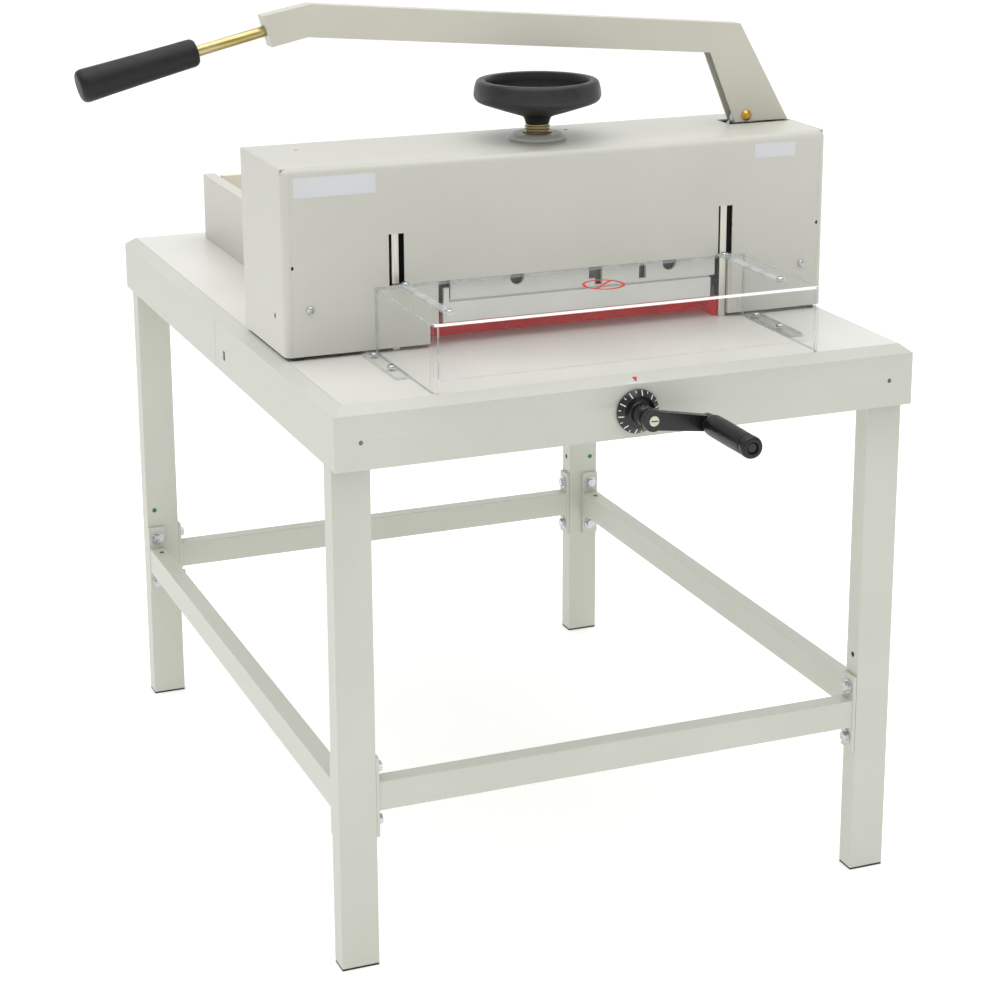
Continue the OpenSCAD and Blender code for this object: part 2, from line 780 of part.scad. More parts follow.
// Plain labels on the front sheet, and one with a pointer on the bevel above the dial
module blank_labels() {
    z1 = head_top - bend_r - 1;
    color("#dcdde0") {
        block([-374, head_y - gap, z1 - 26], [-264, head_y, z1]);
        block([279, head_y - gap, z1 - 20], [341, head_y, z1]);
        translate([0, front_y, rim_z + rim_h]) rotate([atan2(bevel_up, bevel_in), 0, 0]) {
            block([-12, 0.6, 0], [12, 3.4, 0.3]);
            linear_extrude(0.6) polygon([[0, 4.4], [-2.4, 10], [2.4, 10]]);
        }
    }
}

// Red strip in front of the knife's edge, hung under the carrier, with a return at each end
module red_guard() {
    t = 3;
    y1 = knife_y - 5;
    z0 = table_h + gap;
    z1 = table_h + 27;
    color(red, 0.8) {
        block([throat_left, y1 - t, z0], [strip_right, y1, table_h + 40]);
        block([throat_left, head_y + 12, z0], [throat_left + t, y1, z1]);
        block([strip_right - t, head_y + 12, z0], [strip_right, y1, z1]);
    }
}

// ---- rear table ----

module rear_guard_side(side) {
    color(paint) mirror([side > 0 ? 1 : 0, 0, 0]) {
        block([-rear_x, head_back + 1, table_h], [-rear_x + sheet, rear_end, rear_z]);
        block([-rear_x, head_back + 1, rear_z - sheet], [-rear_x + rear_flange, rear_end, rear_z]);
        block([-rear_x, rear_end - sheet, table_h], [-rear_x + rear_flange, rear_end, rear_z]);
    }
}
module rear_guard_left() { rear_guard_side(-1); }
module rear_guard_right() { rear_guard_side(1); }

// ---- back gauge ----

// Gauge face with a base that slides on the table
module backgauge() {
    color("#e3dcc4") {
        block([-258, gauge_y, table_h + gap], [258, gauge_y + 12, rear_z]);
        block([-60, gauge_y + 11, table_h + gap], [60, gauge_y + 40, table_h + 14]);
    }
}

// Stem through the table slot, with the nut that runs on the lead screw
module gauge_nut() {
    w = slot_half - 0.5;
    color(steel) difference() {
        union() {
            block([-w, gauge_y + 1, screw_z + 10], [w, gauge_y + 40, table_h + gap]);
            block([-18, gauge_y, screw_z - 18], [18, gauge_y + 40, plate_z - gap]);
        }
        rod_y(0, screw_z, screw_d + 0.1, gauge_y - 1, gauge_y + 41);
    }
}

module lead_screw() {
    color(steel) rod_y(0, screw_z, screw_d, crank_y + 3, back_y - 15);
}

module screw_bearings() {
    color(cast) for (y = [front_y + 10, back_y - 30]) difference() {
        block([-20, y, screw_z - 18], [20, y + 18, plate_z]);
        rod_y(0, screw_z, screw_d + 0.1, y - 1, y + 19);
    }
}

// Bevelled dial on the lead screw
module gauge_dial() {
    color(black) difference() {
        translate([0, front_y - 1, screw_z]) rotate([90, 0, 0]) {
            cylinder(d = dial_d, h = 3);
            translate([0, 0, 2.99]) cylinder(d1 = dial_d, d2 = dial_d - 16, h = 6);
            translate([0, 0, 8.9]) cylinder(d = 26, h = 24);
        }
        rod_y(0, screw_z, screw_d, front_y - 60, front_y + 1);
    }
}

crank_end = [crank_r * cos(crank_angle), screw_z + crank_r * sin(crank_angle)];
module crank_arm() {
    y0 = crank_y - crank_t / 2;
    color(black) difference() {
        union() {
            rod_y(0, screw_z, 28, y0, y0 + crank_t);
            rod_y(crank_end[0], crank_end[1], 23, y0, y0 + crank_t);
            translate([0, 0, screw_z]) rotate([0, -crank_angle, 0]) upright(y0 + 0.5, crank_t - 1)
                polygon([[4, -12], [4, 12], [crank_r - 3, 10], [crank_r - 3, -10]]);
        }
        rod_y(0, screw_z, screw_d, crank_y + 3, crank_y + 20);
        rod_y(crank_end[0], crank_end[1], 8, y0 - 1, y0 + crank_t + 1);
    }
}

module crank_grip() {
    y1 = crank_y - crank_t / 2 - 1;
    color(black) translate([crank_end[0], y1, crank_end[1]]) rotate([90, 0, 0]) difference() {
        rotate_extrude() polygon([[0, 0], [9, 0], [12, 1.5], [crank_grip_d / 2 - 0.8, 6],
            [crank_grip_d / 2, 14], [crank_grip_d / 2 - 0.5, crank_grip_l - 18],
            [crank_grip_d / 2, crank_grip_l - 4], [crank_grip_d / 2 - 3, crank_grip_l],
            [0, crank_grip_l]]);
        translate([0, 0, -1]) cylinder(d = 8.1, h = crank_grip_l - 5);
        translate([0, 0, crank_grip_l - 7]) cylinder(d = 13, h = 9);
    }
}

module grip_axle() {
    y1 = crank_y + crank_t / 2;
    color(zinc) {
        rod_y(crank_end[0], crank_end[1], 8, crank_y - crank_t / 2 - crank_grip_l + 5, y1);
        rod_y(crank_end[0], crank_end[1], 12, crank_y - crank_t / 2 - crank_grip_l + 1,
              crank_y - crank_t / 2 - crank_grip_l + 5);
    }
}

leg_front_left();
leg_front_right();
leg_back_left();
leg_back_right();
foot_caps();
stretcher_left();
stretcher_right();
stretcher_front();
stretcher_back();
stretcher_bolts();
thread_plugs();
table_studs();
table_rails();
apron_front();
apron_back();
apron_left();
apron_right();
table_plate();
cutting_stick();
side_frames();
cross_beam();
front_cover();
top_cover();
end_cover_left();
end_cover_right();
rear_cover();
cover_screws();
cover_pads();
guide_bars();
spindle_flange();
pivot_bracket();
pivot_pin();
knife_carrier();
carrier_plate();
knife();
knife_bolts();
lever_link();
lever_arm();
lever_rod();
lever_grip();
link_pin();
clamp_beam();
spindle();
handwheel();
guard_shell();
guard_stays();
guard_screws();
warning_sign();
blank_labels();
red_guard();
rear_guard_left();
rear_guard_right();
backgauge();
gauge_nut();
lead_screw();
screw_bearings();
gauge_dial();
crank_arm();
crank_grip();
grip_axle();
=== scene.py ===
# %% [markdown]
# # A guillotine paper cutter on its stand
# The solid model of the machine is made elsewhere, with every size and joint settled. This
# lesson loads it, gives each surface the finish of the real thing, and remodels the pieces
# that the eye lingers on: the moulded handles, the handwheel, the clear guard and the screws.

# %% Load the machine
import math
import bpy
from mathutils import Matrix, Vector


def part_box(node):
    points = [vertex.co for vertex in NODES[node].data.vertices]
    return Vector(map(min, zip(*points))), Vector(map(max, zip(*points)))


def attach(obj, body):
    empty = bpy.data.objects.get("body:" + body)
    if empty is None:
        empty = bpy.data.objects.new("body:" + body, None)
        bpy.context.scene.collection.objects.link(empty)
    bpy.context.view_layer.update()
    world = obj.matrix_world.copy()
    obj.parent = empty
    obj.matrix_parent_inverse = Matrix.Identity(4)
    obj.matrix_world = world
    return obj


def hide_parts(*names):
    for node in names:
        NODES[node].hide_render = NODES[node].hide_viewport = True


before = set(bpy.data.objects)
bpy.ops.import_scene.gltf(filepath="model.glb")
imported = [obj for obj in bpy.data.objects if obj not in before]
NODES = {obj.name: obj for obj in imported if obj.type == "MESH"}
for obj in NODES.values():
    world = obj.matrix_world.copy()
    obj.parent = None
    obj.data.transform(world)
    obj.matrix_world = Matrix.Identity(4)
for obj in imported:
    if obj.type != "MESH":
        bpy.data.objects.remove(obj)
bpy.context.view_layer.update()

MM = 0.001
print("nodes:", len(NODES))

# %% [markdown]
# The camera comes first, because it decides which details can be seen. It stands to the left
# of the machine, above its top, with a long lens, so the stand's legs hardly converge. It
# looks down at the head, and a small downward shift of the lens takes in the feet.

# %% Camera
camera_data = bpy.data.cameras.new("studio_camera")
camera = bpy.data.objects.new("studio_camera", camera_data)
bpy.context.scene.collection.objects.link(camera)
camera.location = (-1.2390, -3.1705, 1.5585)
camera.rotation_euler = (math.radians(74.424), math.radians(0.16), math.radians(-22.035))
camera_data.lens = 86.54
camera_data.sensor_width = 36.0
camera_data.shift_x = -0.0081
camera_data.shift_y = -0.115
camera_data.clip_end = 60.0
bpy.context.scene.camera = camera
print("camera:", tuple(camera.location))

# %% [markdown]
# Paint makers give colours as hex codes, and the shader wants linear light. One function
# turns the first into the second. Another adds a node to a material, with its settings and
# the links that feed it, so that each recipe below reads as a list.


# %% Colour and node helpers
def linear(code):
    channels = [int(code[i:i + 2], 16) / 255 for i in (1, 3, 5)]
    return tuple(c / 12.92 if c <= 0.04045 else ((c + 0.055) / 1.055) ** 2.4
                 for c in channels) + (1.0,)


def add(material, kind, settings=None, links=None):
    tree = material.node_tree
    node = tree.nodes.new("ShaderNode" + kind)
    for key, value in (settings or {}).items():
        if hasattr(node, key) and key not in node.inputs:
            setattr(node, key, value)
        else:
            node.inputs[key].default_value = value
    for key, (source, output) in (links or {}).items():
        tree.links.new(source.outputs[output], node.inputs[key])
    return node


def new_material(name, settings):
    material = bpy.data.materials.new(name)
    material.use_nodes = True
    shader = material.node_tree.nodes["Principled BSDF"]
    for key, value in settings.items():
        shader.inputs[key].default_value = value
    return material, shader


def ramp_between(material, source, low, high, start=0.35, stop=0.65):
    ramp = add(material, "ValToRGB", links={"Fac": source})
    ramp.color_ramp.elements[0].position = start
    ramp.color_ramp.elements[1].position = stop
    ramp.color_ramp.elements[0].color = low
    ramp.color_ramp.elements[1].color = high
    return ramp


def grey(value):
    return (value, value, value, 1.0)


def mottled(name, low, high, patch_mm, rough, grain_mm, grain_height_mm, settings=None):
    """A finish with slow colour patches, uneven gloss and a fine raised grain."""
    material, shader = new_material(name, settings or {})
    place = add(material, "TexCoord")
    patches = add(material, "TexNoise", {"Scale": 1000 / patch_mm, "Detail": 3.0},
                  {"Vector": (place, "Object")})
    colour = ramp_between(material, (patches, "Fac"), linear(low), linear(high))
    gloss = ramp_between(material, (patches, "Fac"), grey(rough[0]), grey(rough[1]))
    grain = add(material, "TexNoise", {"Scale": 1000 / grain_mm, "Detail": 2.0},
                {"Vector": (place, "Object")})
    bump = add(material, "Bump", {"Strength": 1.0, "Distance": grain_height_mm * MM},
               {"Height": (grain, "Fac")})
    link = material.node_tree.links.new
    link(colour.outputs["Color"], shader.inputs["Base Color"])
    link(gloss.outputs["Color"], shader.inputs["Roughness"])
    link(bump.outputs["Normal"], shader.inputs["Normal"])
    return material


# %% [markdown]
# ## Powder coat
# The stand, the table and the covers are sheet steel with a baked powder coat. Powder melts
# into a skin with a faint orange peel, about 2 mm from crest to crest, and a soft satin
# gloss. The head is a shade greyer than the table. Patches of about 200 mm vary by a hair.

# %% Powder coats
stand_paint = mottled("stand_powder_coat", "#C4C5BA", "#C9CAC0", 240, (0.38, 0.46), 2.2, 0.010)
table_paint = mottled("table_powder_coat", "#D4D3CD", "#D9D8D2", 200, (0.34, 0.42), 2.0, 0.007)
head_paint = mottled("head_powder_coat", "#C4C4BB", "#C9C9C0", 220, (0.36, 0.44), 2.0, 0.008)
lever_paint = mottled("lever_powder_coat", "#C0BFB2", "#C5C4B7", 180, (0.36, 0.44), 2.0, 0.010)
print("powder coats made")

# %% [markdown]
# ## Castings and plain steel
# The frame plates inside the head are iron with a primer-grey brushed coat. Guide bars and
# the clamp are ground bright, which leaves fine lines along their length. The screws are
# zinc plated, a bluish silver with a slightly cloudy gloss.


# %% Metals
def ground_metal(name, low, high, rough, streak_mm, stretch):
    """Bright metal with grinding lines, long on the axis where stretch is small."""
    material, shader = new_material(name, {"Metallic": 1.0})
    place = add(material, "TexCoord")
    mapping = add(material, "Mapping", {"Scale": stretch}, {"Vector": (place, "Object")})
    lines = add(material, "TexNoise", {"Scale": 1000 / streak_mm, "Detail": 4.0},
                {"Vector": (mapping, "Vector")})
    colour = ramp_between(material, (lines, "Fac"), linear(low), linear(high))
    gloss = ramp_between(material, (lines, "Fac"), grey(rough[0]), grey(rough[1]))
    bump = add(material, "Bump", {"Strength": 1.0, "Distance": 0.004 * MM},
               {"Height": (lines, "Fac")})
    link = material.node_tree.links.new
    link(colour.outputs["Color"], shader.inputs["Base Color"])
    link(gloss.outputs["Color"], shader.inputs["Roughness"])
    link(bump.outputs["Normal"], shader.inputs["Normal"])
    return material


carrier_grey = mottled("machine_grey_enamel", "#6B6C69", "#777874", 40, (0.45, 0.55), 1.5, 0.01)
iron = mottled("primed_cast_iron", "#B4B4AF", "#BFBFBA", 40, (0.5, 0.62), 1.2, 0.03)
plate_paint = mottled("carrier_grey_paint", "#D3D3CD", "#DADAD5", 60, (0.45, 0.55), 1.5, 0.01)
steel = ground_metal("ground_steel", "#B9B9B8", "#D2D2D0", (0.22, 0.34), 0.8, (0.02, 1, 1))
bright_bar = ground_metal("drawn_steel_bar", "#CBC8BE", "#E4E1D6", (0.3, 0.42), 0.9, (1, 1, 0.02))
zinc = ground_metal("zinc_plated_steel", "#B4B8BC", "#D4D7D9", (0.2, 0.36), 3.0, (1, 1, 1))
rod_brass = ground_metal("yellow_passivated_rod", "#AD9D62", "#C6B98A", (0.2, 0.27), 9.0,
                         (0.15, 1, 1))
brass = ground_metal("turned_brass", "#B98E3C", "#D2AB58", (0.16, 0.26), 1.5, (1, 1, 1))
thread_metal = ground_metal("oiled_bronze_thread", "#8E8059", "#B9AB84", (0.25, 0.4), 1.0,
                            (1, 1, 1))
oxide = mottled("black_oxide_steel", "#1E1E20", "#29292B", 25, (0.4, 0.55), 0.8, 0.01)
print("metals made")

# %% [markdown]
# ## Plastics
# The handles are moulded black plastic with a leathery spark grain of about 1 mm, which
# keeps them from looking wet. The dial and the crank are smoother. The guard is clear
# acrylic: nearly colourless through the face, with a cool tint at its sawn edges.

# %% Plastics
grip_black = mottled("grained_black_plastic", "#111312", "#1A1C1B", 14, (0.42, 0.55), 1.5, 0.16,
                     {"Specular IOR Level": 0.34})
wheel_black = mottled("satin_black_phenolic", "#1A1C1B", "#242625", 14, (0.36, 0.48), 1.3, 0.06,
                      {"Specular IOR Level": 0.45})
satin_black = mottled("fluted_black_plastic", "#0E0F10", "#17181A", 12, (0.3, 0.42), 1.1, 0.04,
                      {"Specular IOR Level": 0.4})
smooth_black = mottled("smooth_black_plastic", "#101112", "#18191B", 30, (0.18, 0.28), 1.4, 0.006)
# Flat black for the trays behind the openings and for the slot of the crank cap: painted shade.
painted_shade_black = mottled("painted_shade_black_sheet", "#060606", "#0B0B0B", 20, (0.8, 0.9), 2.0, 0.0)
tick_white = mottled("white_filled_mark", "#E4E6E6", "#F2F3F3", 4, (0.35, 0.45), 0.8, 0.004)
screw_cream = mottled("cream_screw_cap", "#C9C5B2", "#D9D5C4", 5, (0.3, 0.4), 0.8, 0.004)
foot_black = mottled("black_rubber_foot", "#1B1B1C", "#262627", 12, (0.6, 0.72), 1.0, 0.02)
cream = mottled("cream_laminate", "#EFE8D6", "#F4EEDF", 90, (0.4, 0.5), 1.5, 0.006)
green = mottled("green_plug_plastic", "#126339", "#1B7A49", 5, (0.35, 0.45), 0.8, 0.01)
label_white = mottled("blank_label_film", "#CDCFD2", "#D0D2D5", 60, (0.22, 0.26), 1.0, 0.001)
sign_red = mottled("printed_red_film", "#C0160E", "#CE2016", 12, (0.3, 0.4), 1.0, 0.002)
print("plastics made")


# %% [markdown]
# ## Acrylic
# Seen square on, a clean acrylic sheet only adds a faint white haze. Its sawn edges collect
# the light that runs inside the sheet, and so stand out as thin lines. A shader that bends
# light would turn these thin sheets grey with few samples, so the haze is given as a low
# alpha instead, one for the face and one for the edge. The strip of red acrylic is solid to
# the eye, and a weak red glow is painted light that keeps it bright inside the dark throat.


# %% Clear and red acrylic
# The glow makes a sheet shine by itself. It is painted light, given to the guard's front fold and
# to the red strip.
def acrylic(name, low, high, patch_mm, roughness, alpha, painted_glow=0.0):
    material, shader = new_material(name, {"Roughness": roughness, "IOR": 1.49, "Alpha": alpha,
                                           "Emission Color": linear(high),
                                           "Emission Strength": painted_glow})
    place = add(material, "TexCoord")
    haze = add(material, "TexNoise", {"Scale": 1000 / patch_mm, "Detail": 2.0},
               {"Vector": (place, "Object")})
    colour = ramp_between(material, (haze, "Fac"), linear(low), linear(high))
    material.node_tree.links.new(colour.outputs["Color"], shader.inputs["Base Color"])
    return material


clear = acrylic("clear_acrylic_face", "#E4EAE9", "#F2F6F5", 90, 0.06, 0.03)
clear_edge = acrylic("clear_acrylic_sawn_edge", "#A4ABAB", "#CDD3D3", 25, 0.25, 0.42)
# The top of the guard's front bend: a white glow, a painted highlight.
clear_fold_highlight = acrylic("clear_acrylic_painted_fold_highlight", "#EAF0F0", "#FFFFFF", 25, 0.2, 0.72, 0.3)
clear_bar = acrylic("clear_acrylic_bar", "#B4BABA", "#D6DCDC", 20, 0.15, 0.55)
# A weak red glow: painted light that keeps the strip bright inside the dark throat.
red_clear_painted_glow = acrylic("red_acrylic_face", "#A80A05", "#C80E06", 40, 0.3, 1.0, 0.22)
red_clear_painted_glow.node_tree.nodes["Principled BSDF"].inputs["Specular IOR Level"].default_value = 0.05
print("acrylics made")

# %% [markdown]
# ## Dressing the solid model
# Each node of the machine takes its finish here. Sheet metal never has a razor edge, so
# every node but the blank labels and the warning sign also gets a small bevel. The loader's
# mesh is loose triangles: a Weld modifier joins them, a planar Decimate merges each flat face
# into one, and the bevel then finds only edges that turn by more than 30 degrees. Nodes that a
# modelled piece replaces later are dressed too, so that none stays bare if its replacement is
# taken away.

# %% Finishes for the nodes
FINISHES = {
    stand_paint: ["leg_front_left", "leg_front_right", "leg_back_left", "leg_back_right",
                  "stretcher_left", "stretcher_right", "stretcher_front", "stretcher_back",
                  "table_rails", "apron_front", "apron_back", "apron_left", "apron_right"],
    table_paint: ["table_plate"],
    head_paint: ["front_cover", "top_cover", "end_cover_left", "end_cover_right",
                 "rear_cover", "rear_guard_left", "rear_guard_right", "spindle_flange"],
    lever_paint: ["lever_arm"],
    plate_paint: ["carrier_plate"],
    iron: ["side_frames", "cross_beam", "pivot_bracket", "screw_bearings"],
    steel: ["knife", "clamp_beam", "lead_screw", "gauge_nut", "pivot_pin"],
    bright_bar: ["guide_bars"],
    zinc: ["stretcher_bolts", "cover_screws", "guard_screws", "lever_link"],
    rod_brass: ["lever_rod"],
    brass: ["link_pin"],
    thread_metal: ["spindle"],
    oxide: ["knife_bolts", "table_studs", "grip_axle"],
    carrier_grey: ["knife_carrier"],
    grip_black: ["lever_grip", "crank_grip", "handwheel"],
    smooth_black: ["gauge_dial", "crank_arm"],
    foot_black: ["foot_caps", "cover_pads"],
    cream: ["cutting_stick", "backgauge"],
    green: ["thread_plugs"],
    label_white: ["blank_labels"],
    sign_red: ["warning_sign"],
    clear: ["guard_shell"],
    clear_bar: ["guard_stays"],
    red_clear_painted_glow: ["red_guard"],
}
BEVEL_MM = {"leg": 2.0, "apron": 1.2, "stretcher": 1.5, "front_cover": 0.5, "top_cover": 0.5,
            "end_cover": 0.5, "rear_cover": 0.5, "lever_arm": 1.4, "knife": 0.2,
            "blank_labels": 0.0, "warning_sign": 0.0, "cutting": 0.3, "spindle_flange": 1.4}


def dress(node_name, material):
    node = NODES[node_name]
    node.data.materials.clear()
    node.data.materials.append(material)
    for polygon in node.data.polygons:
        polygon.material_index = 0
    width = next((w for start, w in BEVEL_MM.items() if node_name.startswith(start)), 0.6)
    if width:
        weld = node.modifiers.new("join_triangles", "WELD")
        weld.merge_threshold = 0.00001
        flat = node.modifiers.new("whole_faces", "DECIMATE")
        flat.decimate_type = "DISSOLVE"
        flat.angle_limit = math.radians(0.5)
        bevel = node.modifiers.new("soft_edges", "BEVEL")
        bevel.width = width * MM
        bevel.segments = 2
        bevel.limit_method = "ANGLE"
        bevel.angle_limit = math.radians(30)
        bevel.use_clamp_overlap = True
        bevel.harden_normals = True


for finish, names in FINISHES.items():
    for node_name in names:
        dress(node_name, finish)
undressed = sorted(set(NODES) - {n for names in FINISHES.values() for n in names})
print("undressed nodes:", undressed)

# %% [markdown]
# ## Two ways of making a piece
# Most small parts of the machine were turned on a lathe or moulded to a round shape. They
# start as a circle, which is extruded and scaled ring by ring, as one would draw a vase.
# Sheets and plates start as a cube, whose faces are then deleted, moved or bevelled. Both
# are finished with their place in the mesh, so the object itself stays at the origin.


# %% Modelling helpers
def object_mode():
    if bpy.context.object and bpy.context.object.mode != "OBJECT":
        bpy.ops.object.mode_set(mode="OBJECT")


def start_piece():
    object_mode()
    bpy.ops.object.select_all(action="DESELECT")


def work_on(piece):
    start_piece()
    piece.select_set(True)
    bpy.context.view_layer.objects.active = piece


def pick(piece, kind, test):
    """Selects the vertices, edges or faces of a piece that pass a test on their place."""
    bpy.ops.object.mode_set(mode="EDIT")
    bpy.ops.mesh.select_mode(type=kind)
    bpy.ops.mesh.select_all(action="DESELECT")
    bpy.ops.object.mode_set(mode="OBJECT")
    mesh = piece.data
    if kind == "FACE":
        for face in mesh.polygons:
            face.select = test(face.center / MM, face.normal)
    elif kind == "EDGE":
        for edge in mesh.edges:
            ends = [mesh.vertices[i].co / MM for i in edge.vertices]
            edge.select = test(*ends)
    else:
        for vertex in mesh.vertices:
            vertex.select = test(vertex.co / MM)
    bpy.ops.object.mode_set(mode="EDIT")


def finish_piece(piece, material, body, smooth=35):
    """Cleans the mesh, puts its place in it, paints it and lets it ride on its body."""
    work_on(piece)
    bpy.ops.object.mode_set(mode="EDIT")
    bpy.ops.mesh.select_all(action="SELECT")
    bpy.ops.mesh.remove_doubles(threshold=0.000005)
    bpy.ops.mesh.normals_make_consistent(inside=False)
    bpy.ops.object.mode_set(mode="OBJECT")
    bpy.ops.object.transform_apply(location=True, rotation=True, scale=True)
    bpy.ops.object.shade_smooth_by_angle(angle=math.radians(smooth))
    if not piece.data.materials:
        piece.data.materials.append(material)
    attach(piece, body)
    return piece


def turned(name, rings, at, towards=(0, 0, 1), segments=72):
    """A round shape from rings of (radius, height) in mm, along a direction from a point."""
    start_piece()
    bpy.ops.mesh.primitive_circle_add(vertices=segments, radius=rings[0][0] * MM)
    piece = bpy.context.object
    piece.name = name
    bpy.ops.object.mode_set(mode="EDIT")
    bpy.ops.mesh.select_mode(type="EDGE")
    bpy.ops.mesh.select_all(action="SELECT")
    bpy.ops.transform.translate(value=(0, 0, rings[0][1] * MM))
    for (radius, height), (radius_before, height_before) in zip(rings[1:], rings):
        bpy.ops.mesh.extrude_region_move(
            TRANSFORM_OT_translate={"value": (0, 0, (height - height_before) * MM)})
        scale = radius / radius_before
        bpy.ops.transform.resize(value=(scale, scale, 1), center_override=(0, 0, height * MM))
    bpy.ops.mesh.edge_face_add()
    pick(piece, "VERT", lambda place: abs(place.z - rings[0][1]) < 0.001
         and abs(place.xy.length - rings[0][0]) < 0.001)
    bpy.ops.mesh.edge_face_add()
    bpy.ops.object.mode_set(mode="OBJECT")
    piece.rotation_euler = Vector(towards).to_track_quat("Z", "Y").to_euler()
    piece.location = Vector(at) * MM
    return piece


def plate(name, low, high):
    """A block between two corners in mm, ready to be shaped in edit mode."""
    start_piece()
    low, high = Vector(low) * MM, Vector(high) * MM
    bpy.ops.mesh.primitive_cube_add(size=1.0, location=(low + high) / 2)
    piece = bpy.context.object
    piece.name = name
    piece.scale = high - low
    bpy.ops.object.transform_apply(location=True, rotation=True, scale=True)
    return piece


def bevel_edges(piece, test, width_mm, segments=4):
    pick(piece, "EDGE", test)
    bpy.ops.mesh.bevel(offset=width_mm * MM, offset_type="OFFSET", segments=segments,
                       affect="EDGES")
    bpy.ops.object.mode_set(mode="OBJECT")


def copy_piece(piece, name):
    twin = piece.copy()
    twin.data = piece.data.copy()
    twin.name = name
    bpy.context.scene.collection.objects.link(twin)
    return twin


def join(name, pieces):
    """Makes one piece of several, and gives it the first one's finish."""
    start_piece()
    for piece in pieces:
        piece.select_set(True)
    bpy.context.view_layer.objects.active = pieces[0]
    bpy.ops.object.join()
    pieces[0].name = name
    return pieces[0]


print("helpers ready")

# %% [markdown]
# ## Handwheel
# One moulded dish: a thin cone opens from the hub into a deep rim with rounded lips, so the
# fingers pull up under the rim. Turning the section ring by ring gives every lip its radius.

# %% Handwheel
wheel_low, wheel_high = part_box("handwheel")
WHEEL_Z = wheel_high[2] / MM - 29
WHEEL_Y = (wheel_low[1] + wheel_high[1]) / 2 / MM
WHEEL_RINGS = [(14.5, -30), (16.2, -29.2), (16.5, -28), (17.4, -24.5), (19.5, -20.8), (24, -18.9),
               (50, -10.6), (76, -1.8), (81, 0.4), (84.2, 3.4), (85.6, 6.8), (85.9, 9.6),
               (84.8, 18), (83.2, 24), (82, 26.8), (80, 28.5), (77, 29), (73, 29), (70.8, 28),
               (69.6, 25.6), (68.8, 18), (68.1, 11), (66.4, 7.4), (61, 4.2), (40, -2.6),
               (24, -8.4), (18, -8), (14.2, -4), (12.8, -2.6), (9, -2.2)]
wheel = turned("handwheel_dish", WHEEL_RINGS, (0, WHEEL_Y, WHEEL_Z), segments=120)
finish_piece(wheel, wheel_black, "handwheel_screw")
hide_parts("handwheel")
print("handwheel faces:", len(wheel.data.polygons))

# %% Folded knob pivot inside the dish
pivot_at = (36, WHEEL_Y + 36, WHEEL_Z + 1)
knob_pivot = turned("wheel_knob_pivot", [(7.4, 0), (7.4, 5.2), (6.8, 6), (4.4, 6.2), (4.2, 8.6),
                                         (3.4, 9.4), (1.2, 9.6)], pivot_at, segments=32)
finish_piece(knob_pivot, brass, "handwheel_screw")
knob_bar = plate("wheel_knob_bar", (10, WHEEL_Y + 29, WHEEL_Z + 2.4),
                 (33, WHEEL_Y + 41, WHEEL_Z + 8))
bevel_edges(knob_bar, lambda a, b: True, 1.6, 3)
finish_piece(knob_bar, oxide, "handwheel_screw")

# %% [markdown]
# ## Spindle
# The bronze spindle has a coarse thread of 6 mm pitch. Only a few turns show between the hub
# and the flange, so the crests are rings there, and the rest of the bar is plain.

# %% Spindle
spindle_low, spindle_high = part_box("spindle")
spindle_rings = [(15.2, spindle_low[2] / MM), (16, spindle_low[2] / MM + 0.8)]
HUB_Z = WHEEL_Z - 30
THREAD_START = 1003.0
RING_STEP = 4.0
spindle_rings.append((16, THREAD_START))
z = THREAD_START
while z < HUB_Z - 5:
    spindle_rings += [(15.6, z + 0.8), (15.6, z + 1.8), (17.4, z + 2.6), (17.4, z + 3.8)]
    z += RING_STEP
spindle_rings += [(15.4, z + 0.6), (15.4, HUB_Z - 0.8), (16.2, HUB_Z - 0.2), (7, HUB_Z - 0.1),
                  (7, spindle_high[2] / MM - 0.2)]
spindle = turned("spindle_thread", spindle_rings, (0, WHEEL_Y, 0), segments=48)
finish_piece(spindle, thread_metal, "handwheel_screw")
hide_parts("spindle")
print("spindle rings:", len(spindle_rings))

# %% [markdown]
# ## Lever grip
# A thick moulded grip that swells towards its free end. Its ends are domed, and the rod runs
# into a flat collar.

# %% Lever grip
ROD_TILT = math.radians(13.5)
rod_direction = Vector((-math.cos(ROD_TILT), 0, -math.sin(ROD_TILT)))
ROD_START = Vector((-371.5, -195, 1170))
BARE_ROD = 93
grip_start = ROD_START + rod_direction * BARE_ROD
GRIP_RINGS = [(7.4, 0.3), (12.2, 0.2), (14.8, 1.0), (16.6, 2.8), (17.7, 5.4), (18.0, 8.5),
              (18.5, 40), (19.4, 80), (20.4, 120), (21.2, 143), (21.4, 148), (20.9, 152),
              (19.6, 154.9), (17.2, 156.6), (16.2, 156.9), (15.6, 156.5), (8, 156.8), (3, 156.9)]
grip = turned("lever_grip_moulding", GRIP_RINGS, grip_start, rod_direction)
finish_piece(grip, grip_black, "lever")
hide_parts("lever_grip")
print("lever grip faces:", len(grip.data.polygons))

# %% [markdown]
# ## Crank grip
# The crank's grip is free to spin on its axle. It is slimmer at the arm, has a groove near
# its free end, and ends in a recess that hides the head of the axle.

